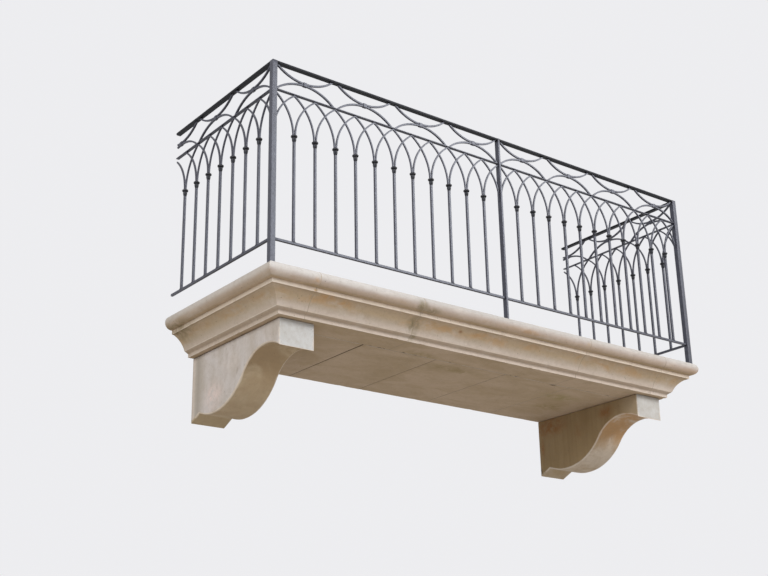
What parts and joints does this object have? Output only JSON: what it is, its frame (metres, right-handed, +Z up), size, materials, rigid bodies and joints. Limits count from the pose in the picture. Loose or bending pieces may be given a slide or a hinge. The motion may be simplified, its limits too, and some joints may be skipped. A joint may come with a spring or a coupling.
{
  "type": "balcony",
  "caption": "Moulded limestone balcony slab on two scrolled corbels, with a three-sided wrought-iron railing of interlaced pointed arches under an arc frieze.",
  "frame": {"origin": "middle of the slab's flat back face, where it meets the wall, half-way up the slab's thickness", "axes": "+X along the wall to the right as seen from outside, +Y into the wall, +Z up"},
  "size_m": [2.85, 0.948, 1.52],
  "materials": {
    "slab_stone": "weathered pale limestone with ochre and grey run-off stains",
    "corbel_stone": "weathered limestone, grey-white in front and brown below",
    "painted_iron": "old grey-black paint on wrought iron, dull, rust in the joints",
    "worn_iron": "black handrail, worn smooth by hands",
    "collar_iron": "dull black cast iron"
  },
  "bodies": {
    "root": {"left_end_stone": "slab_stone", "right_end_stone": "slab_stone", "front_stone_left": "slab_stone", "front_stone_middle": "slab_stone", "front_stone_right": "slab_stone", "floor_stone_1": "slab_stone", "floor_stone_2": "slab_stone", "floor_stone_3": "slab_stone", "floor_stone_4": "slab_stone", "floor_stone_5": "slab_stone", "left_corbel": "corbel_stone", "right_corbel": "corbel_stone", "left_corner_post": "painted_iron", "middle_post": "painted_iron", "right_corner_post": "painted_iron", "handrail_front_left": "worn_iron", "handrail_front_right": "worn_iron", "handrail_left_side": "worn_iron", "handrail_right_side": "worn_iron", "upper_rail_front_left": "painted_iron", "upper_rail_front_right": "painted_iron", "upper_rail_left_side": "painted_iron", "upper_rail_right_side": "painted_iron", "lower_rail_front_left": "painted_iron", "lower_rail_front_right": "painted_iron", "lower_rail_left_side": "painted_iron", "lower_rail_right_side": "painted_iron", "uprights_front_left": "painted_iron", "uprights_front_right": "painted_iron", "uprights_left_side": "painted_iron", "uprights_right_side": "painted_iron", "collars_front_left": "collar_iron", "collars_front_right": "collar_iron", "collars_left_side": "collar_iron", "collars_right_side": "collar_iron", "arches_front_left": "painted_iron", "arches_front_right": "painted_iron", "arches_left_side": "painted_iron", "arches_right_side": "painted_iron", "frieze_front_left": "painted_iron", "frieze_front_right": "painted_iron", "frieze_left_side": "painted_iron", "frieze_right_side": "painted_iron"}
  },
  "joints": []
}
